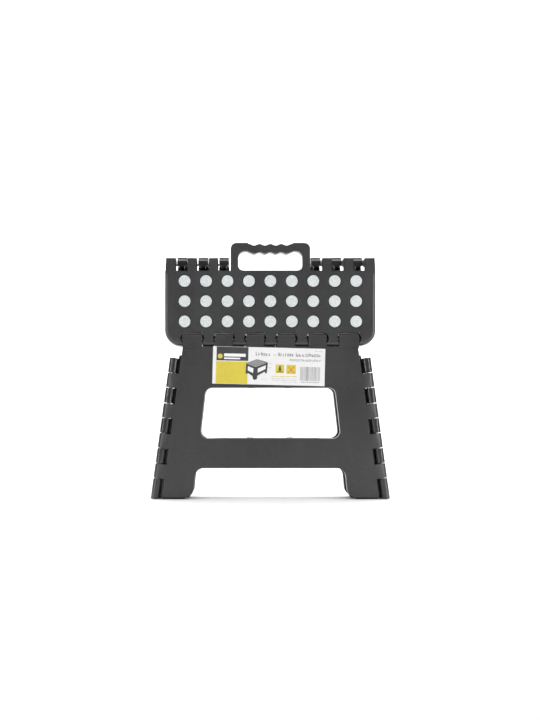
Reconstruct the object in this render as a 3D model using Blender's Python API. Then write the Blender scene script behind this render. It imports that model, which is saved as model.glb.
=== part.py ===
"""Folding step stool, modelled folded flat and standing on its feet.

The front faces -Y and +Z is up. Lengths below are in millimetres and become metres when a mesh
is made. The corner hinges and the middle side hinges all point at one apex high above the stool,
which is what lets eight flat panels fold about their edges.
"""

import math

import bmesh
import bpy
from mathutils import Matrix, Vector

MM = 0.001
GAP = 0.3

# Whole stool, folded
HINGE_Z = 219.7
APEX_L = 947.0
AXIS_DEPTH = 7.5
HALF_DEPTH = 20.0
SPLAY = math.radians(7.75)
SEAT_ARM = 104.8
OFFSET = HALF_DEPTH - AXIS_DEPTH
FOLD_Z = HINGE_Z + SEAT_ARM

# Seat halves
SEAT_HALF_W = 145.1
SEAT_CORNER_R = 21.0
SEAT_EDGE_R = 5.0
SEAT_SKIN = 3.0
SEAT_WALL = 3.0
FOLD_GAP = 0.25
FRONT_REACH = 7.2
REAR_REACH = 10.3
NOTCH_DEPTH = 10.8
NOSE = 7.0
ROOT_SPREAD = 0.5
ROOT_TOP = 1.2
POCKET_SKIN = 5.0
FRONT_TONGUES = ((71.8, 84.5), (101.0, 114.0), (130.0, 143.5))
REAR_TONGUES = ((57.0, 70.5), (85.8, 99.6), (115.3, 128.7))
RIB = 2.0
DOT_PITCH_X = 29.45
DOT_ROWS = (299.4, 271.7, 243.9)
DOT_COLUMNS = 4
DOT_R = 8.0
DOT_RECESS_R = 9.3
DOT_RECESS_DEPTH = 1.6
DOT_PROUD = 0.6
STEM = 2.5
RUNNER_W = 5.0
RUNNER_T = 2.0

# Handle
HANDLE_HALF_W = 54.7
HANDLE_TOP = 352.0
HANDLE_THICK = 14.0
HANDLE_CORNER_R = 8.0
GRIP_HALF_W = 44.2
GRIP_BOTTOM = 314.0
GRIP_BAR = 11.3
FINGER_PITCH = 14.8
FINGER_END = 2.0 * FINGER_PITCH
HANDLE_BAY_HALF_W = 56.2
HANDLE_BAY_DEPTH = 30.0

# Seat-to-leg hinge
BARREL_R = 7.5
CORNER_EASE = 4.0
SEAT_DROP = 8.8
LEG_KNUCKLES = ((21.4, 24.3), (64.3, 24.5), (107.8, 27.0))
KNUCKLE_GAP = 0.45
KNUCKLE_SHIFT = 0.5
SCALLOP = 3.4
SCALLOP_DEPTH = 11.5
NOTCH_TOP = 9.4

# Leg panels
LEG_INNER = 3.5
LEG_SKIN = 3.0
LEG_TOP = 209.2
LEG_EDGE = 9.8
LEG_GROOVE_Z = 206.6
FOOT_Z = 2.1
CORNER_R = 6.3
CORNER_SPANS = ((194.0, 174.0), (173.1, 153.5), (152.6, 131.9), (131.0, 111.4), (110.5, 90.9),
                (90.0, 70.2), (69.3, 49.2), (48.3, 28.8), (27.9, 0.0))
WINDOW_Z = (83.0, 153.0)
WINDOW_HALF_W = (97.0, 89.0)
WINDOW_R = 10.0
ARCH_TOP = 42.3
ARCH_HALF_W = (106.5, 102.5)
ARCH_R = 12.5
FOOT_R = 12.0

# Side half-panels
SIDE_THICK = 7.8
SIDE_SKIN = 3.0
SIDE_TOP = 195.6
SIDE_BOTTOM = -1.2
FLOOR_CLEAR = 0.7
SIDE_MARGIN = 1.6
SIDE_EDGE = 6.0
MID_R = 5.0
MID_BANDS = ((84.4, 44.0), (194.5, 151.8))
MID_KNUCKLES = 3
MID_GAP = 0.8
NOTCH_R = 8.4

# Rods, pads and label
ROD_R = 1.5
ROD_SIDES = 8
ROD_HOLE_R = 2.1
HOLE_SIDES = 6
FREE_HOLE_R = 2.9
LOOSE_EYE = (3.9, -1.3, -1.1)
DOT_SIDES = 12
RECESS_SIDES = 16
PAD_H = 1.8
LABEL = (154.0, 51.3)
LABEL_CENTRE = (-2.2, 182.3)
LABEL_TILT = math.radians(1.4)
LABEL_T = 0.25

# Worked-out hinge geometry
APEX_Z = HINGE_Z + math.sqrt(APEX_L ** 2 - OFFSET ** 2)
TILT_FOLDED = math.asin(OFFSET / APEX_L)
TILT_OPEN = math.asin(SEAT_ARM / APEX_L)
DEPTH_FOLDED = math.cos(SPLAY) * math.sin(TILT_FOLDED)
DEPTH_OPEN = math.cos(SPLAY) * math.sin(TILT_OPEN)
ALONG_MID = math.sqrt(1.0 - DEPTH_FOLDED ** 2 - DEPTH_OPEN ** 2)
SIDE_SPREAD = math.atan2(DEPTH_OPEN, ALONG_MID)
MID_LEAN = math.atan2(math.sin(SPLAY), math.cos(SPLAY) * math.cos(TILT_FOLDED)) - SIDE_SPREAD

# Frames: each maps its own axes to the world, for the front right quarter
LEG_FRAME = Matrix.Translation((0, -OFFSET, HINGE_Z)) @ Matrix.Rotation(-TILT_FOLDED, 4, "X")
CORNER_X = APEX_L * math.tan(SPLAY)
CORNER_FRAME = LEG_FRAME @ Matrix.Translation((CORNER_X, 0, 0)) @ Matrix.Rotation(-SPLAY, 4, "Y")
MID_X = (APEX_Z - HINGE_Z) * math.tan(MID_LEAN)
SIDE_FRAME = Matrix.Translation((MID_X, 0, HINGE_Z)) @ Matrix.Rotation(-MID_LEAN, 4, "Y")
MIRROR_X = Matrix.Diagonal((-1, 1, 1, 1))
MIRROR_Y = Matrix.Diagonal((1, -1, 1, 1))


# ---------------------------------------------------------------- shapes

def clear_scene():
    for obj in list(bpy.data.objects):
        bpy.data.objects.remove(obj, do_unlink=True)


def new_object(bm, name="tool"):
    mesh = bpy.data.meshes.new(name)
    bmesh.ops.recalc_face_normals(bm, faces=bm.faces[:])
    bm.to_mesh(mesh)
    bm.free()
    obj = bpy.data.objects.new(name, mesh)
    bpy.context.scene.collection.objects.link(obj)
    return obj


def stack(rings):
    """A closed solid through rings of points that all have the same count."""
    bm = bmesh.new()
    loops = [[bm.verts.new(Vector(p) * MM) for p in ring] for ring in rings]
    count = len(rings[0])
    for low, high in zip(loops, loops[1:]):
        for i in range(count):
            j = (i + 1) % count
            bm.faces.new((low[i], low[j], high[j], high[i]))
    bm.faces.new(loops[0][::-1])
    bm.faces.new(loops[-1])
    return bm


def plate(outline, y0, y1):
    """An outline of (x, z) points, extruded along Y."""
    return new_object(stack([[(x, y, z) for x, z in outline] for y in (y0, y1)]))


def column(outline, z0, z1):
    """An outline of (x, y) points, extruded along Z."""
    return new_object(stack([[(x, y, z) for x, y in outline] for z in (z0, z1)]))


def bar(outline, x0, x1):
    """An outline of (y, z) points, extruded along X."""
    return new_object(stack([[(x, y, z) for y, z in outline] for x in (x0, x1)]))


def box(x0, x1, y0, y1, z0, z1):
    return plate(((x0, z0), (x1, z0), (x1, z1), (x0, z1)), y0, y1)


def arc(cx, cy, radius, start, end, steps):
    """Points of an arc, by angles in degrees."""
    angles = [math.radians(start + (end - start) * i / steps) for i in range(steps + 1)]
    return [(cx + radius * math.cos(a), cy + radius * math.sin(a)) for a in angles]


def circle(radius, sides, cx=0.0, cy=0.0):
    return arc(cx, cy, radius, 0, 360, sides)[:-1]


def rounded(corners, steps=4):
    """An outline from (x, y, radius) corners, each one filleted."""
    points = []
    count = len(corners)
    for i in range(count):
        here = Vector(corners[i][:2])
        radius = corners[i][2]
        if radius <= 0:
            points.append(tuple(here))
            continue
        before = (Vector(corners[i - 1][:2]) - here).normalized()
        after = (Vector(corners[(i + 1) % count][:2]) - here).normalized()
        half = before.angle(after) / 2
        reach = radius / math.tan(half)
        centre = here + (before + after).normalized() * (radius / math.sin(half))
        start = here + before * reach - centre
        end = here + after * reach - centre
        turn = math.atan2(start.x * end.y - start.y * end.x, start.dot(end))
        for step in range(steps + 1):
            angle = turn * step / steps
            c, s = math.cos(angle), math.sin(angle)
            points.append((centre.x + start.x * c - start.y * s, centre.y + start.x * s + start.y * c))
    return points


def place(obj, matrix):
    """Moves a shape's points by a matrix whose translation is in millimetres."""
    move = matrix.copy()
    move.translation = matrix.translation * MM
    obj.data.transform(move)
    if matrix.determinant() < 0:
        obj.data.flip_normals()
    return obj


def joined(shapes):
    """Puts shapes that don't touch into one object, to cut or add all at once."""
    first = shapes[0]
    bm = bmesh.new()
    for shape in shapes:
        bm.from_mesh(shape.data)
    bm.to_mesh(first.data)
    bm.free()
    for shape in shapes[1:]:
        bpy.data.objects.remove(shape, do_unlink=True)
    return first


def combine(obj, tool, operation):
    """A Boolean of obj with tool, applied; tool is used up."""
    modifier = obj.modifiers.new("shape", "BOOLEAN")
    modifier.operation = operation
    modifier.solver = "EXACT"
    modifier.object = tool
    bpy.context.view_layer.update()
    graph = bpy.context.evaluated_depsgraph_get()
    mesh = bpy.data.meshes.new_from_object(obj.evaluated_get(graph))
    obj.modifiers.remove(modifier)
    obj.data = mesh
    bpy.data.objects.remove(tool, do_unlink=True)
    return obj


def add(obj, shapes):
    return combine(obj, joined(shapes), "UNION")


def cut(obj, shapes):
    return combine(obj, joined(shapes), "DIFFERENCE")


def both_sides(spans):
    return [(-b, -a) for a, b in spans[::-1]] + list(spans)


def knuckle_sides(spans):
    """Both sides' leg knuckles, set over a little so that front and rear gaps don't line up."""
    return [(a + KNUCKLE_SHIFT, b + KNUCKLE_SHIFT) for a, b in both_sides(spans)]


def rod_along_x(radius, x0, x1, y, z, sides=HOLE_SIDES):
    return bar(circle(radius, sides, y, z), x0, x1)


# ---------------------------------------------------------------- seat halves

def seat_outline(inset):
    side = SEAT_HALF_W - inset
    bottom = HINGE_Z - SEAT_DROP + inset
    radius = SEAT_CORNER_R - inset
    top = FOLD_Z - NOTCH_DEPTH
    corners = ((-side, bottom, radius), (side, bottom, radius), (side, top, 0), (-side, top, 0))
    return rounded(corners, 6)


def seat_shell():
    """The seat's solid outer form, its outer edge rounded over in three steps."""
    rings = []
    for step in range(4):
        angle = math.radians(90 - 30 * step)
        inset = SEAT_EDGE_R * (1 - math.cos(angle))
        y = -HALF_DEPTH + SEAT_EDGE_R * (1 - math.sin(angle))
        rings.append([(x, y, z) for x, z in seat_outline(inset)])
    rings.append([(x, -FOLD_GAP, z) for x, z in seat_outline(0)])
    return new_object(stack(rings))


def seat_tongues(spans, reach):
    """Knuckles of the centre hinge, each a block with an eye on the underside."""
    top = FOLD_Z + reach
    base = FOLD_Z - NOTCH_DEPTH - 4
    ledge = FOLD_Z + min(reach - 0.6, 7.0)
    section = [(-HALF_DEPTH, base), (-HALF_DEPTH, top - 1.5), (1.5 - HALF_DEPTH, top), (-1.5, top)]
    section += [(-1.2, ledge), (NOSE - 2, ledge), (NOSE, ledge - 2.5), (NOSE, FOLD_Z - 3)]
    section += [(NOSE - 3, FOLD_Z - 6), (-FOLD_GAP - 0.1, FOLD_Z - 8), (-FOLD_GAP - 0.1, base)]
    return [bar(section, a, b) for a, b in both_sides(spans)]


def tongue_roots(spans):
    """The foot of each knuckle, a little wider than its head."""
    base = FOLD_Z - NOTCH_DEPTH - 3
    top = FOLD_Z - ROOT_TOP
    y0, y1 = -HALF_DEPTH + 0.1, -FOLD_GAP - 0.2
    return [box(a - ROOT_SPREAD, b + ROOT_SPREAD, y0, y1, base, top) for a, b in both_sides(spans)]


def tongue_pockets(spans):
    """D-shaped pockets from the underside, either side of each knuckle's neck."""
    shapes = []
    middle = FOLD_Z - 5.4
    for a, b in both_sides(spans):
        for x, start in ((a, -90), (b, 90)):
            bow = arc(x, middle, 4.2, start, start + 180, 4)
            side = x - ROOT_SPREAD - 1 if start < 0 else x + ROOT_SPREAD + 1
            outline = [(side, bow[0][1])] + bow + [(side, bow[-1][1])]
            shapes.append(plate(outline, -HALF_DEPTH + POCKET_SKIN, NOSE + 1))
    return shapes


def hinge_half_width():
    centre, width = LEG_KNUCKLES[-1]
    return centre + width / 2


def seat_knuckles():
    """Barrels between the leg's knuckles, joined to the seat above them."""
    edges = [(c - w / 2 - KNUCKLE_GAP, c + w / 2 + KNUCKLE_GAP) for c, w in LEG_KNUCKLES]
    spans = [(-edges[0][0], edges[0][0])]
    spans += [(a[1], b[0]) for a, b in zip(edges, edges[1:])]
    spans += [(-b, -a) for a, b in spans[1:]]
    y = -OFFSET
    ease = CORNER_EASE
    section = arc(ease - HALF_DEPTH, HINGE_Z - SEAT_DROP + ease, ease, 180, 270, 4)
    section += arc(y, HINGE_Z, BARREL_R, 285, 360, 4)
    section += [(y + BARREL_R, HINGE_Z + 11), (-HALF_DEPTH, HINGE_Z + 11)]
    return [bar(section, a + KNUCKLE_SHIFT, b + KNUCKLE_SHIFT) for a, b in spans]


def scallops():
    """Bowed recesses in the face of the seat, either side of each leg knuckle."""
    shapes = []
    low = HINGE_Z - SEAT_DROP + 3.5
    top = HINGE_Z + NOTCH_TOP - 2.5
    for centre, width in LEG_KNUCKLES:
        for sign in (-1, 1):
            for edge in (-1, 1):
                x = KNUCKLE_SHIFT + sign * centre + edge * (width / 2 + KNUCKLE_GAP)
                bow = [(x + edge * (SCALLOP - KNUCKLE_GAP) * math.sin(math.pi * t / 6),
                        low + (top - low) * t / 6) for t in range(7)]
                outline = [(x - edge * 0.4, low)] + bow + [(x - edge * 0.4, top)]
                shapes.append(plate(outline, -HALF_DEPTH - 1, -HALF_DEPTH + SCALLOP_DEPTH))
    return shapes


def seat_pockets(bay):
    """Hollows of the underside, which leave the skin, the rim and a lattice of ribs."""
    row_z = [HINGE_Z + 12.3, (DOT_ROWS[1] + DOT_ROWS[2]) / 2, (DOT_ROWS[0] + DOT_ROWS[1]) / 2]
    row_z.append(FOLD_Z - NOTCH_DEPTH - SEAT_WALL)
    columns = [-SEAT_HALF_W + SEAT_WALL - RIB / 2]
    columns += [DOT_PITCH_X * (i + 0.5) for i in range(-DOT_COLUMNS, DOT_COLUMNS)]
    columns.append(-columns[0])
    shapes = []
    for row, (z0, z1) in enumerate(zip(row_z, row_z[1:])):
        for x0, x1 in zip(columns, columns[1:]):
            lo, hi = x0 + RIB / 2, x1 - RIB / 2
            if bay and row == 2:
                if abs(lo + hi) / 2 < HANDLE_BAY_HALF_W - 15:
                    continue
                if abs(lo + hi) / 2 < HANDLE_BAY_HALF_W + 15:
                    edge = HANDLE_BAY_HALF_W + SEAT_WALL
                    lo, hi = (edge, hi) if lo > 0 else (lo, -edge)
            shapes.append(box(lo, hi, -HALF_DEPTH + SEAT_SKIN, 1, z0 + RIB / 2, z1 - RIB / 2))
    return shapes


def dot_places(bay):
    """The dots of each row as groups of x positions that one runner can join."""
    every = [DOT_PITCH_X * i for i in range(-DOT_COLUMNS, DOT_COLUMNS + 1)]
    groups = []
    for row, z in enumerate(DOT_ROWS):
        if bay and row == 0:
            clear = HANDLE_BAY_HALF_W + DOT_RECESS_R
            groups.append(("upper_left", z, [x for x in every if x < -clear]))
            groups.append(("upper_right", z, [x for x in every if x > clear]))
        else:
            groups.append((("upper", "middle", "lower")[row], z, every))
    return groups


def cut_dot_seats(seat, bay):
    groups = dot_places(bay)
    deep = -HALF_DEPTH + DOT_RECESS_DEPTH
    shapes = [plate(circle(DOT_RECESS_R, RECESS_SIDES, x, z), -21, deep)
              for _, z, xs in groups for x in xs]
    cut(seat, shapes)
    hole = STEM + GAP
    shapes = [box(x - hole, x + hole, -20, -16, z - hole, z + hole) for _, z, xs in groups for x in xs]
    cut(seat, shapes)
    wide = RUNNER_W / 2 + 0.6
    floor = -HALF_DEPTH + SEAT_SKIN + 0.05
    deep = floor + RUNNER_T + 1
    shapes = [box(min(xs) - 6, max(xs) + 6, floor, deep, z - wide, z + wide) for _, z, xs in groups]
    return cut(seat, shapes)


def dot_row(name, z, xs):
    """One row of anti-slip dots on the runner that the soft plastic is fed through."""
    top = -HALF_DEPTH + SEAT_SKIN + GAP
    runner = box(min(xs) - 4, max(xs) + 4, top, top + RUNNER_T, z - RUNNER_W / 2, z + RUNNER_W / 2)
    face = -HALF_DEPTH - DOT_PROUD
    back = -HALF_DEPTH + DOT_RECESS_DEPTH - GAP
    add(runner, [box(x - STEM, x + STEM, back - 0.2, top + 1, z - STEM, z + STEM) for x in xs])
    add(runner, [plate(circle(DOT_R, DOT_SIDES, x, z), face, back) for x in xs])
    runner.name = name
    return runner


def finger_wave(x):
    """How far the grip dips below its flat ends at x."""
    if abs(x) >= FINGER_END:
        return 0.0
    return 2.55 - 1.15 * math.cos(2 * math.pi * x / FINGER_PITCH)


def wavy_line(level):
    count = 32
    xs = [FINGER_END * (2 * i / count - 1) for i in range(count + 1)]
    return [(x, level - finger_wave(x * 0.999)) for x in xs]


def handle():
    """The carry handle with its finger waves above and below the bar."""
    low = FOLD_Z - NOTCH_DEPTH - 6
    left = rounded(((-HANDLE_HALF_W, low, 0), (-HANDLE_HALF_W, HANDLE_TOP, HANDLE_CORNER_R),
                    (-FINGER_END - 2, HANDLE_TOP, 0)))
    outline = left + wavy_line(HANDLE_TOP) + [(-x, z) for x, z in left[::-1]]
    body = plate(outline, -HALF_DEPTH, HANDLE_THICK - HALF_DEPTH)
    under = HANDLE_TOP - GRIP_BAR
    left = rounded(((-GRIP_HALF_W, GRIP_BOTTOM, 7), (-GRIP_HALF_W, under, 9),
                    (-FINGER_END - 2, under, 0), (0, GRIP_BOTTOM, 0)))[:-1]
    inner = left + wavy_line(under) + [(-x, z) for x, z in left[::-1]]
    return body, plate(inner, -21, HANDLE_THICK - HALF_DEPTH + 1)


def seat_half(name, tongues, reach, has_handle):
    """A seat half as it lies on the front side; the rear one is mirrored afterwards."""
    seat = seat_shell()
    if has_handle:
        body, opening = handle()
        add(seat, [body])
        cut(seat, [opening])
    else:
        width = HANDLE_BAY_HALF_W
        cut(seat, [box(-width, width, -21, 1, FOLD_Z - HANDLE_BAY_DEPTH, FOLD_Z + 20)])
    cut(seat, seat_pockets(not has_handle))
    add(seat, tongue_roots(tongues))
    add(seat, seat_tongues(tongues, reach))
    cut(seat, tongue_pockets(tongues))
    half = hinge_half_width() + KNUCKLE_GAP
    x0, x1 = KNUCKLE_SHIFT - half, KNUCKLE_SHIFT + half
    cut(seat, [box(x0, x1, -21, 1, HINGE_Z - SEAT_DROP - 1, HINGE_Z + NOTCH_TOP)])
    cut_dot_seats(seat, not has_handle)
    add(seat, seat_knuckles())
    cut(seat, scallops())
    hole = ROD_HOLE_R
    reach = seat_rod_reach() + 1
    cut(seat, [rod_along_x(hole, -reach, reach, -OFFSET, HINGE_Z)])
    if has_handle:
        cut(seat, [rod_along_x(hole, s[0][0] - 2, s[-1][1] - 2, 0, FOLD_Z) for s in
                   (tongues, [(-b, -a + 4) for a, b in tongues[::-1]])])
    else:
        cut(seat, loose_eyes(tongues))
    seat.name = name
    return seat


def loose_eyes(tongues):
    """Oversize eyes in the rear knuckles, which let the rod float part-way through the fold."""
    radius, y, z = LOOSE_EYE
    return [rod_along_x(radius, a - 1, b + 1, y, FOLD_Z + z, 10) for a, b in both_sides(tongues)]


# ---------------------------------------------------------------- leg panels

def corner_line(z, inset):
    """x of a line that runs along the corner hinge, inset towards the middle."""
    return CORNER_X + (HINGE_Z - z) * math.tan(SPLAY) - inset / math.cos(SPLAY)


def leg_z(points):
    """Heights above the floor, turned into heights from the seat hinge."""
    return [(x, z - HINGE_Z) for x, z in points]


def leg_body():
    right = [(corner_line(LEG_TOP, LEG_EDGE), LEG_TOP, 2), (corner_line(FOOT_Z, LEG_EDGE), FOOT_Z, 0)]
    right += [(ARCH_HALF_W[0], FOOT_Z, FOOT_R), (ARCH_HALF_W[1], ARCH_TOP, ARCH_R)]
    corners = right + [(-x, z, r) for x, z, r in right[::-1]]
    body = plate(leg_z(rounded(corners, 6)), -AXIS_DEPTH, LEG_INNER)
    low, high = WINDOW_Z
    wide, narrow = WINDOW_HALF_W
    corners = ((-wide, low, WINDOW_R), (wide, low, WINDOW_R), (narrow, high, WINDOW_R),
               (-narrow, high, WINDOW_R))
    return cut(body, [plate(leg_z(rounded(corners, 6)), -9, 5)])


def leg_pockets():
    """Hollows of the inner side between walls and ribs."""
    floor = LEG_SKIN - AXIS_DEPTH
    shapes = []

    def pocket(points):
        shapes.append(plate(leg_z(points), floor, LEG_INNER + 1))

    wall = 3.0
    z0, z1 = WINDOW_Z[1] + wall, LEG_TOP - 6
    for i in range(-4, 4):
        x0, x1 = 26 * i + 1, 26 * i + 25
        pocket(((x0, z0), (x1, z0), (x1, z1), (x0, z1)))
    z0, z1 = ARCH_TOP + wall, WINDOW_Z[0] - wall
    for i in range(-4, 4):
        x0, x1 = 23.5 * i + 1, 23.5 * i + 22.5
        pocket(((x0, z0), (x1, z0), (x1, z1), (x0, z1)))
    for sign in (-1, 1):
        low, high = WINDOW_Z[0] + 2, WINDOW_Z[1] - 2
        middle = (low + high) / 2
        for z0, z1 in ((low, middle - 1), (middle + 1, high)):
            inner = [(WINDOW_HALF_W[0] + wall + 0.8, z) for z in (z0, z1)]
            outer = [(corner_line(z, 14), z) for z in (z1, z0)]
            pocket([(sign * x, z) for x, z in inner + outer])
        z0, z1 = FOOT_Z + 5, ARCH_TOP + 2
        inner = [(ARCH_HALF_W[0] + wall, z) for z in (z0, z1)]
        outer = [(corner_line(z, 14), z) for z in (z1, z0)]
        pocket([(sign * x, z) for x, z in inner + outer])
    return shapes


def leg_hinge_knuckles():
    """Knuckles of the seat hinge: flat in front, round over the top."""
    ease = CORNER_EASE
    section = arc(ease - AXIS_DEPTH, BARREL_R - ease, ease, 180, 90, 4)
    section += arc(0, 0, BARREL_R, 75, -50, 5)
    section += [(LEG_INNER, -7.5), (LEG_INNER, -13), (-AXIS_DEPTH, -13)]
    spans = [(c - w / 2, c + w / 2) for c, w in LEG_KNUCKLES]
    return [bar(section, a, b) for a, b in knuckle_sides(spans)]


def knuckle_grooves():
    """A shallow groove across the face below each knuckle."""
    middle = LEG_GROOVE_Z - HINGE_Z
    spans = [(c - w / 2 - 2, c + w / 2 + 2) for c, w in LEG_KNUCKLES]
    depth = -AXIS_DEPTH + 0.5
    return [box(a, b, -9, depth, middle - 0.6, middle + 0.6) for a, b in knuckle_sides(spans)]


def corner_height(z):
    return (z - HINGE_Z) / math.cos(SPLAY)


def corner_knuckles():
    """The leg's own corner knuckles, flush with its face, in the corner frame."""
    outline = [(-LEG_EDGE - 4, -AXIS_DEPTH), (0.5, -AXIS_DEPTH)]
    outline += arc(0, 0, CORNER_R, -45, 150, 7) + [(-LEG_EDGE - 4, LEG_INNER)]
    shapes = [column(outline, corner_height(b), corner_height(a)) for a, b in CORNER_SPANS[1::2]]
    return [place(shape, LEG_FRAME.inverted() @ CORNER_FRAME) for shape in shapes]


def mirrored_x(shapes):
    copies = []
    for shape in shapes:
        copy = shape.copy()
        copy.data = shape.data.copy()
        bpy.context.scene.collection.objects.link(copy)
        copies.append(place(copy, MIRROR_X))
    return shapes + copies


def corner_hole(radius):
    hole = column(circle(radius, HOLE_SIDES), corner_height(LEG_TOP), corner_height(-20))
    return place(hole, LEG_FRAME.inverted() @ CORNER_FRAME)


def pad_sockets():
    """Slots in the bottom of each foot for the pads' plugs."""
    x0, x1 = pad_plug_span()
    shapes = [box(x0 - GAP, x1 + GAP, -4, 0.3, FOOT_Z - HINGE_Z - 2, FOOT_Z - HINGE_Z + 6)]
    return mirrored_x(shapes)


def leg_panel(name):
    leg = leg_body()
    add(leg, leg_hinge_knuckles())
    add(leg, mirrored_x(corner_knuckles()))
    cut(leg, leg_pockets())
    cut(leg, knuckle_grooves())
    cut(leg, pad_sockets())
    cut(leg, [rod_along_x(ROD_HOLE_R, -135, 135, 0, 0)])
    cut(leg, mirrored_x([corner_hole(ROD_HOLE_R)]))
    place(leg, LEG_FRAME)
    leg.name = name
    return leg


# ---------------------------------------------------------------- side half-panels

def side_corner_x(z, inset=0.0):
    """The corner hinge seen in the side panel's own frame."""
    reach = (APEX_Z - HINGE_Z) / math.cos(MID_LEAN) - (z - HINGE_Z)
    return reach * math.tan(SIDE_SPREAD) - inset / math.cos(SIDE_SPREAD)


def side_body():
    m = FOLD_GAP
    low, high = WINDOW_Z[0] - SIDE_MARGIN, WINDOW_Z[1] + SIDE_MARGIN
    wide = WINDOW_HALF_W[0] - MID_X + 0.5
    narrow = WINDOW_HALF_W[1] - MID_X - 1
    foot = ARCH_HALF_W[0] - MID_X - 2
    arch = ARCH_TOP + SIDE_MARGIN
    corners = ((m, SIDE_TOP, 0), (side_corner_x(SIDE_TOP, SIDE_EDGE), SIDE_TOP, 0),
               (side_corner_x(SIDE_BOTTOM, SIDE_EDGE), SIDE_BOTTOM, 0), (foot, SIDE_BOTTOM, 4),
               (foot - 3, arch, 8), (m, arch, 0), (m, low, 0), (wide, low, 8), (narrow, high, 8),
               (m, high, 0))
    return plate(leg_z(rounded(corners, 3)), -SIDE_THICK - FOLD_GAP, -FOLD_GAP)


def side_webs():
    """Round barrels of the corner hinge with the webs that carry them."""
    outline = arc(0, 0, CORNER_R, -230, 35, 10)
    outline += [(-5, 18), (-17, 18), (-17, 4.8)]
    shapes = [column(outline, corner_height(b), corner_height(a)) for a, b in CORNER_SPANS[::2]]
    shapes = [place(shape, SIDE_FRAME.inverted() @ CORNER_FRAME) for shape in shapes]
    webs = joined(shapes)
    return cut(webs, [box(-50, 250, -FOLD_GAP, 60, -260, 60)])


def side_pockets():
    """Hollows of the inner side of a side half-panel."""
    y0, y1 = -SIDE_THICK - FOLD_GAP - 1, -SIDE_SKIN - FOLD_GAP
    shapes = []

    def pocket(points):
        shapes.append(plate(leg_z(points), y0, y1))

    for z0, z1 in ((ARCH_TOP + 5, WINDOW_Z[0] - 5), (WINDOW_Z[1] + 5, SIDE_TOP - 3)):
        for i in range(4):
            x0, x1 = 9 + 19.5 * i, 26.5 + 19.5 * i
            pocket(((x0, z0), (x1, z0), (x1, z1), (x0, z1)))
    for z0, z1 in ((5, 40), (WINDOW_Z[0] + 2, 117), (119, WINDOW_Z[1] - 2)):
        inner = max(ARCH_HALF_W[0] if z0 < 40 else WINDOW_HALF_W[0], 0) - MID_X + 4
        pocket([(inner, z0), (inner, z1), (side_corner_x(z1, 19), z1), (side_corner_x(z0, 19), z0)])
    return shapes


def knuckle_spans(band, parity):
    """Spans of the middle hinge knuckles of one half within a band."""
    high, low = max(band), min(band)
    step = (high - low) / MID_KNUCKLES
    return [(low + step * i, low + step * (i + 1)) for i in range(MID_KNUCKLES) if i % 2 == parity]


def side_half(name, parity, hole_r):
    """A side half-panel as it lies at the front right; the others are mirrored."""
    side = side_body()
    webs = side_webs()
    combine(side, webs, "UNION")
    cut(side, side_pockets())
    own = [s for band in MID_BANDS for s in knuckle_spans(band, parity)]
    other = [s for band in MID_BANDS for s in knuckle_spans(band, 1 - parity)]
    ring = circle(MID_R, 10)
    add(side, [column(ring, a - HINGE_Z + MID_GAP / 2, b - HINGE_Z - MID_GAP / 2) for a, b in own])
    ring = circle(MID_R + 1.0, 10)
    cut(side, [column(ring, a - HINGE_Z - MID_GAP / 2, b - HINGE_Z + MID_GAP / 2) for a, b in other])
    cut(side, [column(circle(hole_r, HOLE_SIDES), -230, 0)])
    clear = circle(NOTCH_R, 12)
    shapes = [column(clear, corner_height(b) - 0.7, corner_height(a) + 0.7)
              for a, b in CORNER_SPANS[1::2]]
    to_side = SIDE_FRAME.inverted() @ CORNER_FRAME
    cut(side, [place(shape, to_side) for shape in shapes])
    cut(side, [place(column(circle(ROD_HOLE_R, HOLE_SIDES), -235, 0), to_side)])
    place(side, SIDE_FRAME)
    cut(side, [box(0, 200, -40, 40, -20, FLOOR_CLEAR)])
    side.name = name
    return side


# ---------------------------------------------------------------- rods, pads and label

def corner_rod(name):
    rod = column(circle(ROD_R, ROD_SIDES), corner_height(4.5), corner_height(CORNER_SPANS[0][0] - 1))
    place(rod, CORNER_FRAME)
    rod.name = name
    return rod


def mid_rod(name, band):
    low, high = min(band) - HINGE_Z + 1, max(band) - HINGE_Z - 1
    rod = place(column(circle(ROD_R, ROD_SIDES), low, high), SIDE_FRAME)
    rod.name = name
    return rod


def seat_rod_reach():
    return hinge_half_width() + 10


def seat_rod(name):
    reach = seat_rod_reach()
    rod = rod_along_x(ROD_R, -reach, reach, -OFFSET, HINGE_Z, ROD_SIDES)
    rod.name = name
    return rod


def centre_rod(name):
    rod = rod_along_x(ROD_R, REAR_TONGUES[0][0] + 0.5, FRONT_TONGUES[-1][1] - 3, 0, FOLD_Z,
                      ROD_SIDES)
    rod.name = name
    return rod


def pad_plug_span():
    return ARCH_HALF_W[0] + 12, ARCH_HALF_W[0] + 28


def foot_pad(name):
    """A rubber pad under one foot, held by a plug in the foot's slot."""
    x0 = ARCH_HALF_W[0] + FOOT_R - 1
    x1 = corner_line(0, LEG_EDGE + 1)
    lean = math.sin(TILT_FOLDED) * HINGE_Z
    y0 = -HALF_DEPTH - lean + 0.6
    y1 = -OFFSET - lean + LEG_INNER - 0.6
    outline = rounded(((x0, y0, 3), (x1, y0, 1.5), (x1, y1, 1.5), (x0, y1, 3)), 3)
    pad = column(outline, 0, PAD_H)
    a, b = pad_plug_span()
    add(pad, [box(a, b, -OFFSET - lean - 3.5, -OFFSET - lean - 0.2, PAD_H - 1, PAD_H + 4)])
    pad.name = name
    return pad


def paper_label(name):
    w, h = LABEL[0] / 2, LABEL[1] / 2
    label = plate(((-w, -h), (w, -h), (w, h), (-w, h)), -AXIS_DEPTH - 0.1 - LABEL_T, -AXIS_DEPTH - 0.1)
    x, z = LABEL_CENTRE
    place(label, Matrix.Translation((x, 0, z - HINGE_Z)) @ Matrix.Rotation(LABEL_TILT, 4, "Y"))
    place(label, LEG_FRAME)
    label.name = name
    return label


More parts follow.
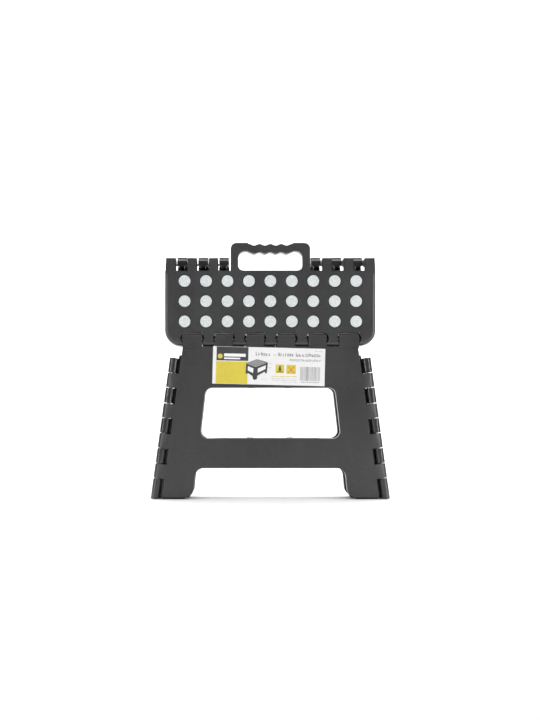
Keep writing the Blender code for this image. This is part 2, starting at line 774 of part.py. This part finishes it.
# ---------------------------------------------------------------- finish and assembly

def material(name, colour, roughness, metallic=0.0):
    mat = bpy.data.materials.new(name)
    mat.use_nodes = True
    shader = mat.node_tree.nodes["Principled BSDF"]
    shader.inputs["Base Color"].default_value = (*colour, 1)
    shader.inputs["Roughness"].default_value = roughness
    shader.inputs["Metallic"].default_value = metallic
    return mat


def finish(obj, mat, pivot):
    """Names the mesh, gives it its material and puts its origin on its joint's axis."""
    obj.data.name = obj.name
    obj.data.materials.clear()
    obj.data.materials.append(mat)
    origin = Vector(pivot) * MM
    obj.data.transform(Matrix.Translation(-origin))
    obj.location = origin
    obj.data.set_sharp_from_angle(angle=math.radians(35))


def turned(obj, name, *mirrors):
    """Mirrors a finished shape in place and gives it its own name."""
    for mirror in mirrors:
        place(obj, mirror)
    obj.name = name
    return obj


def build():
    clear_scene()
    plastic = material("charcoal plastic", (0.06, 0.06, 0.062), 0.5)
    soft = material("grey anti-slip", (0.76, 0.79, 0.78), 0.8)
    steel = material("hinge rod", (0.25, 0.25, 0.26), 0.4, 1.0)
    rubber = material("foot rubber", (0.02, 0.02, 0.02), 0.9)
    paper = material("label paper", (0.85, 0.85, 0.84), 0.6)

    seat_pivot = (0, -OFFSET, HINGE_Z)
    rear_pivot = (0, OFFSET, HINGE_Z)
    finish(seat_half("seat_front", FRONT_TONGUES, FRONT_REACH, True), plastic, seat_pivot)
    rear = turned(seat_half("rear", REAR_TONGUES, REAR_REACH, False), "seat_rear", MIRROR_Y, MIRROR_X)
    finish(rear, plastic, rear_pivot)
    finish(leg_panel("leg_panel_front"), plastic, seat_pivot)
    finish(turned(leg_panel("rear"), "leg_panel_rear", MIRROR_Y, MIRROR_X), plastic, rear_pivot)

    for name, z, xs in dot_places(False):
        finish(dot_row("front_dots_" + name, z, xs), soft, seat_pivot)
    for name, z, xs in dot_places(True):
        row = turned(dot_row("rear", z, xs), "rear_dots_" + name, MIRROR_Y)
        finish(row, soft, rear_pivot)

    for side, across in (("right", ()), ("left", (MIRROR_X,))):
        sign = -1 if across else 1
        front_pivot = (sign * CORNER_X, -OFFSET, HINGE_Z)
        back_pivot = (sign * CORNER_X, OFFSET, HINGE_Z)
        front = turned(side_half("front", 0, ROD_HOLE_R), f"side_{side}_front", *across)
        finish(front, plastic, front_pivot)
        back = turned(side_half("back", 1, FREE_HOLE_R), f"side_{side}_rear", MIRROR_Y, *across)
        finish(back, plastic, back_pivot)
        finish(turned(corner_rod("rod"), f"corner_rod_{side}_front", *across), steel, front_pivot)
        rod = turned(corner_rod("rod"), f"corner_rod_{side}_rear", MIRROR_Y, *across)
        finish(rod, steel, back_pivot)
        for level, band in zip(("lower", "upper"), MID_BANDS):
            rod = turned(mid_rod("rod", band), f"side_rod_{side}_{level}", *across)
            finish(rod, steel, (sign * MID_X, 0, HINGE_Z))
        rod = turned(centre_rod("rod"), f"centre_rod_{side}", *across)
        finish(rod, steel, (0, 0, FOLD_Z))
        finish(turned(foot_pad("pad"), f"foot_pad_{side}_front", *across), rubber, front_pivot)
        pad = turned(foot_pad("pad"), f"foot_pad_{side}_rear", MIRROR_Y, *across)
        finish(pad, rubber, back_pivot)

    finish(seat_rod("seat_rod_front"), steel, seat_pivot)
    finish(turned(seat_rod("rod"), "seat_rod_rear", MIRROR_Y), steel, rear_pivot)
    finish(paper_label("paper_label"), paper, seat_pivot)


build()
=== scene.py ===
"""Looks of the folding step stool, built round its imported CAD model."""

import math
import random

import bmesh
import bpy
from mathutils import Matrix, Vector


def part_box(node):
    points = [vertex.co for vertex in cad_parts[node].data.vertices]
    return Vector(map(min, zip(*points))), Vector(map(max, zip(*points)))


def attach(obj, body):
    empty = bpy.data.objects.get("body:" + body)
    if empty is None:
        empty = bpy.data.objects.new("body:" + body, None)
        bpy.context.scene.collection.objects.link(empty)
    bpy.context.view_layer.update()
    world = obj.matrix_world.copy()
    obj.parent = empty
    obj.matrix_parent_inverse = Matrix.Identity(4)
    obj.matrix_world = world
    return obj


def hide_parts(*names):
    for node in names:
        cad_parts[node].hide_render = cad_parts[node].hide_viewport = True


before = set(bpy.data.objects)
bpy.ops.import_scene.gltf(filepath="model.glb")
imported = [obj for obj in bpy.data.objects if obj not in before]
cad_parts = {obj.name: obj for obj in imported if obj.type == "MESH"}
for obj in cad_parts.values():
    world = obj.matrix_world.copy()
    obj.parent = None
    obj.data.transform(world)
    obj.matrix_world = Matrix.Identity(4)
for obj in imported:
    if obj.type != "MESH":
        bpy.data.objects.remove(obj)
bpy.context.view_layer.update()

MM = 0.001
random.seed(7)

# Camera and room
CAMERA_AT = Vector((-0.050, -1.285, 0.128))
VIEW_HEIGHT = 0.9874
VIEW_MID_X = -0.0006
VIEW_MID_Z = 0.19085
FACE_Y = -0.0215
SENSOR = 36.0

# Anti-slip dots
DOT_R = 8.0 * MM
DOT_SIDES = 56
DOT_EDGE = 0.5 * MM

# Paper label; its artwork is drawn in millimetres across and down from the top left corner
LABEL_W = 154.0
LABEL_H = 51.3
ART_W = 156.0
ART_H = 51.8
LABEL_TILT = math.radians(1.4)
PRINT_T = 0.03


# ---------------------------------------------------------------- materials

def new_material(name, roughness, metallic=0.0, specular=0.5):
    mat = bpy.data.materials.new(name)
    mat.use_nodes = True
    shader = mat.node_tree.nodes["Principled BSDF"]
    shader.inputs["Roughness"].default_value = roughness
    shader.inputs["Metallic"].default_value = metallic
    shader.inputs["Specular IOR Level"].default_value = specular
    return mat, mat.node_tree, shader


def noise(tree, scale, detail=2.0, roughness=0.5, stretch=(1, 1, 1)):
    """Noise laid out in the object's own space, in metres."""
    coords = tree.nodes.new("ShaderNodeTexCoord")
    mapping = tree.nodes.new("ShaderNodeMapping")
    mapping.inputs["Scale"].default_value = stretch
    texture = tree.nodes.new("ShaderNodeTexNoise")
    texture.inputs["Scale"].default_value = scale
    texture.inputs["Detail"].default_value = detail
    texture.inputs["Roughness"].default_value = roughness
    tree.links.new(coords.outputs["Object"], mapping.inputs["Vector"])
    tree.links.new(mapping.outputs["Vector"], texture.inputs["Vector"])
    return texture.outputs["Fac"]


def ramp(tree, source, stops):
    """A colour ramp from stops of (position, colour), in order."""
    node = tree.nodes.new("ShaderNodeValToRGB")
    node.color_ramp.elements[0].position = stops[0][0]
    node.color_ramp.elements[0].color = (*stops[0][1], 1)
    node.color_ramp.elements[1].position = stops[-1][0]
    node.color_ramp.elements[1].color = (*stops[-1][1], 1)
    for place, colour in stops[1:-1]:
        node.color_ramp.elements.new(place).color = (*colour, 1)
    tree.links.new(source, node.inputs["Fac"])
    return node.outputs["Color"]


def grey(value):
    """A grey with the faintest cool cast."""
    return (value, value, value * 1.02)


def multiplied(tree, first, second):
    node = tree.nodes.new("ShaderNodeMix")
    node.data_type = "RGBA"
    node.blend_type = "MULTIPLY"
    node.inputs["Factor"].default_value = 1.0
    tree.links.new(first, node.inputs["A"])
    tree.links.new(second, node.inputs["B"])
    return node.outputs["Result"]


def bump(tree, shader, layers):
    """Bump layers as (source, strength, height in metres), one on top of another."""
    normal = None
    for source, strength, height in layers:
        node = tree.nodes.new("ShaderNodeBump")
        node.inputs["Strength"].default_value = strength
        node.inputs["Distance"].default_value = height
        tree.links.new(source, node.inputs["Height"])
        if normal is not None:
            tree.links.new(normal, node.inputs["Normal"])
        normal = node.outputs["Normal"]
    tree.links.new(normal, shader.inputs["Normal"])


def charcoal_plastic(name, dark, light, smooth, dull):
    """Moulded plastic: spark-eroded grain, faint flow marks and slightly uneven gloss."""
    mat, tree, shader = new_material(name, 0.5)
    grain = noise(tree, 1500, 2.0, 0.6)
    cloud = noise(tree, 22, 3.0, 0.55, (1, 1, 0.45))
    fleck = noise(tree, 420, 2.0, 0.7)
    tone = ramp(tree, cloud, [(0.3, grey(dark)), (0.7, grey(light))])
    speck = ramp(tree, fleck, [(0.35, grey(0.80)), (0.65, grey(1.0))])
    tree.links.new(multiplied(tree, tone, speck), shader.inputs["Base Color"])
    gloss = ramp(tree, cloud, [(0.25, grey(smooth)), (0.75, grey(dull))])
    tree.links.new(gloss, shader.inputs["Roughness"])
    bump(tree, shader, [(grain, 0.35, 0.00012), (fleck, 0.18, 0.0002)])
    return mat


def speckled_soft_plastic():
    """Light anti-slip plastic with a fine speckle and a rough face."""
    mat, tree, shader = new_material("grey anti-slip", 0.72, specular=0.3)
    coarse = noise(tree, 620, 3.0, 0.7)
    fine = noise(tree, 1900, 1.0, 0.5)
    tone = ramp(tree, coarse, [(0.34, (0.42, 0.45, 0.44)), (0.5, (0.57, 0.60, 0.59)),
                               (0.68, (0.67, 0.69, 0.68))])
    speck = ramp(tree, fine, [(0.30, grey(0.80)), (0.48, grey(1.0))])
    tree.links.new(multiplied(tree, tone, speck), shader.inputs["Base Color"])
    bump(tree, shader, [(coarse, 0.5, 0.0003), (fine, 0.3, 0.00015)])
    return mat


def drawn_wire():
    mat, tree, shader = new_material("hinge rod", 0.35, 1.0)
    scratch = noise(tree, 300, 3.0, 0.6, (1, 1, 0.1))
    tree.links.new(ramp(tree, scratch, [(0.3, grey(0.22)), (0.7, grey(0.38))]),
                   shader.inputs["Base Color"])
    tree.links.new(ramp(tree, scratch, [(0.3, grey(0.28)), (0.7, grey(0.45))]),
                   shader.inputs["Roughness"])
    return mat


def foot_rubber():
    mat, tree, shader = new_material("foot rubber", 0.85, specular=0.3)
    grain = noise(tree, 700, 3.0, 0.7)
    dust = noise(tree, 60, 3.0, 0.6)
    tree.links.new(ramp(tree, dust, [(0.35, grey(0.020)), (0.75, grey(0.036))]),
                   shader.inputs["Base Color"])
    bump(tree, shader, [(grain, 0.5, 0.0003)])
    return mat


def printed(name, colour, spread=0.05, roughness=0.42):
    """Ink or bare label paper: the colour with a slight fibre mottle and a soft sheen."""
    mat, tree, shader = new_material(name, roughness, specular=0.45)
    fibre = noise(tree, 500, 3.0, 0.65, (1, 1, 0.5))
    low = tuple(c * (1 - spread) for c in colour)
    high = tuple(min(1.0, c * (1 + spread)) for c in colour)
    tree.links.new(ramp(tree, fibre, [(0.3, low), (0.7, high)]), shader.inputs["Base Color"])
    bump(tree, shader, [(fibre, 0.12, 0.0001)])
    return mat


# ---------------------------------------------------------------- mesh helpers

def mesh_object(bm, name, material):
    """A smooth-shaded object with sharp corners kept, from a finished bmesh."""
    mesh = bpy.data.meshes.new(name)
    bmesh.ops.recalc_face_normals(bm, faces=bm.faces[:])
    bm.to_mesh(mesh)
    bm.free()
    mesh.materials.append(material)
    mesh.shade_smooth()
    mesh.set_sharp_from_angle(angle=math.radians(35))
    obj = bpy.data.objects.new(name, mesh)
    bpy.context.scene.collection.objects.link(obj)
    return obj


def loft(bm, rings):
    """Closed solid through rings of points; the first and last are capped."""
    loops = [[bm.verts.new(p) for p in ring] for ring in rings]
    count = len(rings[0])
    for low, high in zip(loops, loops[1:]):
        for i in range(count):
            j = (i + 1) % count
            bm.faces.new((low[i], low[j], high[j], high[i]))
    bm.faces.new(loops[0][::-1])
    bm.faces.new(loops[-1])


def repaint(obj, material):
    """Gives a CAD piece its material without touching its mesh."""
    for slot in obj.material_slots:
        slot.link = "OBJECT"
        slot.material = material


def soften(obj, width):
    """Rounds the edges of a CAD solid, as a mould does.

    Its flat faces are first cut into well-shaped triangles, so that no sliver folds over.
    """
    weld = obj.modifiers.new("weld", "WELD")
    weld.merge_threshold = 0.00001
    flat = obj.modifiers.new("flats", "DECIMATE")
    flat.decimate_type = "DISSOLVE"
    flat.angle_limit = math.radians(0.5)
    split = obj.modifiers.new("split", "TRIANGULATE")
    split.ngon_method = "BEAUTY"
    split.min_vertices = 5
    bevel = obj.modifiers.new("edges", "BEVEL")
    bevel.width = width
    bevel.segments = 2
    bevel.limit_method = "ANGLE"
    bevel.angle_limit = math.radians(38)
    bevel.use_clamp_overlap = False
    normals = obj.modifiers.new("normals", "WEIGHTED_NORMAL")
    normals.keep_sharp = False


# ---------------------------------------------------------------- anti-slip dots

def dot_rings(x, z, face, back, out):
    """Rings of one round dot, from its back to its slightly crowned face."""
    rings = []
    profile = [(DOT_R, back), (DOT_R, face - out * DOT_EDGE)]
    for step in range(1, 5):
        angle = math.radians(90 * step / 4)
        inset = DOT_EDGE * (1 - math.cos(angle))
        profile.append((DOT_R - inset, face - out * DOT_EDGE * (1 - math.sin(angle))))
    profile.append((DOT_R * 0.55, face + out * 0.04 * MM))
    for radius, y in profile:
        ring = []
        for i in range(DOT_SIDES):
            turn = 2 * math.pi * i / DOT_SIDES
            ring.append((x + radius * math.cos(turn), y, z + radius * math.sin(turn)))
        rings.append(ring)
    return rings


def slab(bm, low, high):
    """A small rectangular block between two opposite corners."""
    outline = ((low[0], low[1]), (high[0], low[1]), (high[0], high[1]), (low[0], high[1]))
    loft(bm, [[(x, y, z) for x, y in outline] for z in (low[2], high[2])])


def dot_row(node, count, out, body, material):
    """One row of fine round dots on its runner; out is -1 in front and 1 at the back."""
    low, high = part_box(node)
    middle = (low.z + high.z) / 2
    face = (low.y if out < 0 else high.y) - out * 0.05 * MM
    deep = high.y if out < 0 else low.y
    first = low.x + DOT_R
    pitch = (high.x - DOT_R - first) / (count - 1)
    bm = bmesh.new()
    back = face - out * 1.45 * MM
    for i in range(count):
        x = first + pitch * i
        loft(bm, dot_rings(x, middle, face, back, out))
        stem = 2.4 * MM
        ys = sorted((back + out * 0.2 * MM, deep + out * 0.4 * MM))
        slab(bm, (x - stem, ys[0], middle - stem), (x + stem, ys[1], middle + stem))
    ys = sorted((deep, deep + out * 2 * MM))
    last = first + pitch * (count - 1)
    slab(bm, (first - 4 * MM, ys[0], middle - 2.5 * MM), (last + 4 * MM, ys[1], middle + 2.5 * MM))
    piece = mesh_object(bm, node + "_fine", material)
    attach(piece, body)
    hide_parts(node)


# ---------------------------------------------------------------- printed label

def label_place():
    """The label's printed face: its centre, then across, up, and out of the paper."""
    low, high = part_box("paper_label")
    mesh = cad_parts["paper_label"].data
    largest = max(face.area for face in mesh.polygons)
    broad = [face.normal for face in mesh.polygons if face.area > largest * 0.9]
    normal = min(broad, key=lambda n: n.y).copy()
    printed_side = [face for face in mesh.polygons if face.normal.dot(normal) > 0.99]
    front = min((mesh.vertices[face.vertices[0]].co for face in printed_side), key=lambda c: c.y)
    centre = Vector(((low.x + high.x) / 2, 0, (low.z + high.z) / 2))
    off_plane = (centre.x - front.x) * normal.x + (centre.z - front.z) * normal.z
    centre.y = front.y - off_plane / normal.y
    across = Vector((math.cos(LABEL_TILT), 0, -math.sin(LABEL_TILT)))
    across = (across - normal * across.dot(normal)).normalized()
    up = normal.cross(across)
    if up.z < 0:
        up = -up
    return centre, across, up, normal


PLACE = label_place()


def on_label(u, v, lift):
    """The point u across and v down the artwork, lifted off the paper; all in millimetres."""
    centre, across, up, normal = PLACE
    side = (u / ART_W - 0.5) * LABEL_W * MM
    rise = (0.5 - v / ART_H) * LABEL_H * MM
    return centre + across * side + up * rise + normal * lift * MM


def ink(name, outlines, material, layer=1):
    """Printed shapes, each a thin closed plate on the paper."""
    bm = bmesh.new()
    low, high = (layer - 1) * PRINT_T + 0.004, layer * PRINT_T
    for outline in outlines:
        loft(bm, [[on_label(u, v, lift) for u, v in outline] for lift in (low, high)])
    piece = mesh_object(bm, name, material)
    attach(piece, "front_leg")


def block(u0, v0, u1, v1):
    return [(u0, v0), (u1, v0), (u1, v1), (u0, v1)]


def disc(u, v, radius, sides=20):
    turns = [2 * math.pi * i / sides for i in range(sides)]
    return [(u + radius * math.cos(t), v + radius * math.sin(t)) for t in turns]


def word_bars(u0, u1, v, height, words, gap=1.4):
    """Plain bars that stand where a line of print would be."""
    shares = [random.uniform(0.7, 1.5) for _ in range(words)]
    usable = (u1 - u0) - gap * (words - 1)
    bars = []
    at = u0
    for share in shares:
        length = usable * share / sum(shares)
        bars.append(block(at, v, at + length, v + height))
        at += length + gap
    return bars


def strokes(u0, u1, v, height, count, width):
    """A word's worth of plain upright and level strokes that spell nothing."""
    pitch = (u1 - u0) / count
    low = v + height
    shapes = []
    for i in range(count):
        left = u0 + pitch * i
        right = left + pitch - width
        top = v if i == 0 or random.random() < 0.25 else v + height * 0.28
        shapes.append(block(left, top, left + width, low))
        if random.random() < 0.55:
            shapes.append(block(right - width, v + height * 0.28, right, low))
        for level in random.sample((v + height * 0.28, v + height * 0.58, low - width), 2):
            shapes.append(block(left + width, level, right - width, level + width))
    return shapes


def barcode(u0, u1, v0, v1):
    bars = []
    at = u0
    while at < u1:
        width = random.choice((0.35, 0.35, 0.6, 0.9))
        bars.append(block(at, v0, min(at + width, u1), v1))
        at += width + random.choice((0.4, 0.5, 0.8))
    return bars


def stool_picture(u, v, size):
    """A small drawing of an open stool, as three tones."""
    def at(points):
        return [(u + x * size, v + (1 - y) * size) for x, y in points]
    top = at([(0.0, 0.80), (0.50, 1.0), (1.02, 0.87), (0.45, 0.64)])
    left = at([(0.0, 0.79), (0.45, 0.63), (0.42, 0.02), (0.34, 0.05), (0.30, 0.20), (0.08, 0.34),
               (0.06, 0.28), (-0.02, 0.33)])
    right = at([(0.45, 0.63), (1.02, 0.86), (0.98, 0.36), (0.91, 0.33), (0.88, 0.42), (0.54, 0.22),
                (0.52, 0.06), (0.42, 0.02)])
    gaps = [at([(0.09, 0.66), (0.35, 0.56), (0.33, 0.34), (0.08, 0.46)]),
            at([(0.55, 0.56), (0.93, 0.73), (0.91, 0.54), (0.55, 0.36)])]
    spots = []
    for row in range(3):
        for column in range(5):
            x = 0.17 + column * 0.085 + row * 0.13
            y = 0.795 + column * 0.032 - row * 0.035
            spots.append(disc(u + x * size, v + (1 - y) * size, 0.013 * size, 10))
    return top, left, right, gaps, spots


def print_label():
    yellow = printed("yellow ink", (0.57, 0.475, 0.058))
    dark = printed("dark ink", (0.045, 0.045, 0.05), 0.15)
    mid = printed("grey ink", (0.30, 0.30, 0.31), 0.1)
    pale = printed("pale grey ink", (0.50, 0.50, 0.51), 0.08)
    slate = printed("slate ink", (0.20, 0.20, 0.21), 0.08)
    gold = printed("gold ink", (0.55, 0.42, 0.06), 0.1)
    red = printed("red ink", (0.50, 0.10, 0.04), 0.1)
    white = printed("white ink", (0.74, 0.74, 0.735), 0.03)

    ink("label_dark_block", [block(5, 0.3, 49.2, 19.4)], dark)
    ink("label_white_bars", [block(15.5, 9.6, 45.5, 13.8), block(15.5, 15.2, 38.0, 17.4)], white, 2)
    ink("label_round_mark", [disc(10.2, 13.5, 3.4)], yellow, 2)
    ink("label_yellow_block", [block(4.6, 20.4, 48.6, 51.4)], yellow)
    lines = []
    for i in range(9):
        v = 23.2 + i * 3.0
        lines += [block(8, v, 9, v + 1)]
        lines += word_bars(10.2, random.uniform(26, 41), v + 0.15, 0.7, 4, 0.8)
    ink("label_yellow_lines", lines, gold, 2)

    words = strokes(59.5, 81.0, 6.4, 5.4, 6, 0.85) + [block(84.4, 9.8, 88.4, 10.5)]
    words += strokes(91.0, 112.4, 6.4, 5.4, 7, 0.85) + strokes(115.2, 151.2, 6.4, 5.4, 8, 0.85)
    ink("label_heading", words, slate)
    ink("label_subheading", strokes(107.0, 151.2, 14.4, 3.9, 14, 0.45), slate)
    ink("label_corner_mark", word_bars(142, 152, 3.4, 1.2, 2, 0.8), pale)

    top, left, right, gaps, spots = stool_picture(46.5, 16.5, 29.5)
    ink("label_picture_top", [top], slate, 2)
    ink("label_picture_left", [left], dark, 2)
    ink("label_picture_right", [right], dark, 2)
    ink("label_picture_gaps", gaps, white, 3)
    ink("label_picture_dots", spots, white, 3)

    ink("label_signs", [block(87.6, 23.4, 99.4, 35.4), block(102.6, 23.4, 115.6, 35.8)], yellow)
    load = [block(91.6, 28.2, 95.4, 31.8), disc(93.5, 26.6, 1.5), block(89.4, 32.6, 97.6, 33.8)]
    ink("label_load_sign", load, dark, 2)
    cross = [[(103.8, 25.2), (105.0, 25.2), (114.4, 35.2), (113.2, 35.2)],
             [(113.2, 25.2), (114.4, 25.2), (105.0, 35.2), (103.8, 35.2)]]
    ink("label_cross_sign_down", cross[:1], red, 2)
    ink("label_cross_sign_up", cross[1:], red, 3)
    ink("label_rule", word_bars(82, 117, 39.2, 0.9, 5, 1.0), gold)
    notes = word_bars(82, 117, 42.6, 0.8, 6, 0.9) + word_bars(82, 117, 44.8, 0.8, 5, 0.9)
    notes += word_bars(98, 117, 47.0, 0.8, 3, 0.9) + word_bars(72, 82, 21.6, 0.9, 2, 0.9)
    notes += word_bars(68, 74, 43.6, 0.9, 1) + word_bars(76, 82, 27.6, 0.9, 1)
    ink("label_notes", notes, pale)
    ink("label_barcode", barcode(121.6, 149.8, 25.6, 45.0), slate)
    ink("label_barcode_foot", word_bars(123, 148, 46.2, 1.3, 9, 0.9), mid)


# ---------------------------------------------------------------- floor, light and camera

def build_stage():
    """A pale floor that curves up into a backdrop."""
    profile = [(-3.0, 0.0), (1.2, 0.0)]
    for step in range(1, 13):
        angle = math.radians(90 * step / 12)
        profile.append((1.2 + 0.9 * math.sin(angle), 0.9 * (1 - math.cos(angle))))
    profile.append((2.1, 4.0))
    bm = bmesh.new()
    sides = [[bm.verts.new((x, y, z - 0.0002)) for y, z in profile] for x in (-4.0, 4.0)]
    for i in range(len(profile) - 1):
        bm.faces.new((sides[0][i], sides[1][i], sides[1][i + 1], sides[0][i + 1]))
    mat, tree, shader = new_material("pale floor", 0.8, specular=0.2)
    shader.inputs["Base Color"].default_value = (0.88, 0.88, 0.88, 1)
    floor = mesh_object(bm, "floor", mat)


def area_light(name, at, towards, size, power, size_y=None):
    data = bpy.data.lights.new(name, "AREA")
    data.shape = "RECTANGLE"
    data.size = size
    data.size_y = size_y or size
    data.energy = power
    light = bpy.data.objects.new(name, data)
    light.location = at
    light.rotation_euler = (Vector(towards) - Vector(at)).to_track_quat("-Z", "Y").to_euler()
    bpy.context.scene.collection.objects.link(light)


def build_lights():
    world = bpy.data.worlds.new("studio")
    world.use_nodes = True
    back = world.node_tree.nodes["Background"]
    back.inputs["Color"].default_value = (1, 1, 1, 1)
    back.inputs["Strength"].default_value = 0.20
    bpy.context.scene.world = world
    middle = (0, 0, 0.18)
    area_light("overhead", (0, -0.5, 2.3), (0, -0.2, 0), 2.6, 30)
    area_light("key_left", (-1.05, -1.3, 0.45), middle, 0.12, 2.6, 1.4)
    area_light("key_right", (1.05, -1.3, 0.45), middle, 0.12, 2.6, 1.4)
    area_light("strip_left", (-1.2, -0.72, 0.35), middle, 0.12, 9, 1.2)
    area_light("strip_right", (1.2, -0.72, 0.35), middle, 0.12, 13, 1.2)
    area_light("backdrop_wash", (0, 0.7, 2.0), (0, 2.1, 0.5), 2.0, 70)


def build_camera():
    data = bpy.data.cameras.new("camera")
    data.sensor_fit = "VERTICAL"
    data.sensor_height = SENSOR
    distance = FACE_Y - CAMERA_AT.y
    data.lens = SENSOR * distance / VIEW_HEIGHT
    data.shift_y = (VIEW_MID_Z - CAMERA_AT.z) / VIEW_HEIGHT
    data.clip_start = 0.01
    camera = bpy.data.objects.new("camera", data)
    camera.location = CAMERA_AT
    camera.rotation_euler = (math.radians(90), 0, 0)
    data.shift_x = (VIEW_MID_X - CAMERA_AT.x) / VIEW_HEIGHT
    bpy.context.scene.collection.objects.link(camera)
    bpy.context.scene.camera = camera


# ---------------------------------------------------------------- the object

def dress_frame():
    plastic = charcoal_plastic("charcoal plastic", 0.031, 0.040, 0.32, 0.42)
    glossy = charcoal_plastic("charcoal side plastic", 0.022, 0.030, 0.16, 0.24)
    paper = printed("label paper", (0.69, 0.69, 0.685), 0.03)
    rod = drawn_wire()
    rubber = foot_rubber()
    for name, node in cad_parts.items():
        if name.startswith(("seat_rod", "corner_rod", "side_rod", "centre_rod")):
            repaint(node, rod)
        elif name.startswith("foot_pad"):
            repaint(node, rubber)
            soften(node, 0.0005)
        elif name == "paper_label":
            repaint(node, paper)
        elif name.startswith("seat"):
            repaint(node, plastic)
            soften(node, 0.0005)
        elif name.startswith("leg_panel"):
            repaint(node, plastic)
            soften(node, 0.00045)
        elif name.startswith("side_"):
            repaint(node, glossy)
            soften(node, 0.00045)


def fit_dots():
    soft = speckled_soft_plastic()
    for level in ("upper", "middle", "lower"):
        dot_row("front_dots_" + level, 9, -1, "seat_front", soft)
    for level, count in (("upper_left", 2), ("upper_right", 2), ("middle", 9), ("lower", 9)):
        dot_row("rear_dots_" + level, count, 1, "seat_rear", soft)


build_stage()
build_lights()
build_camera()
dress_frame()
fit_dots()
print_label()
bpy.context.scene.view_settings.view_transform = "Standard"
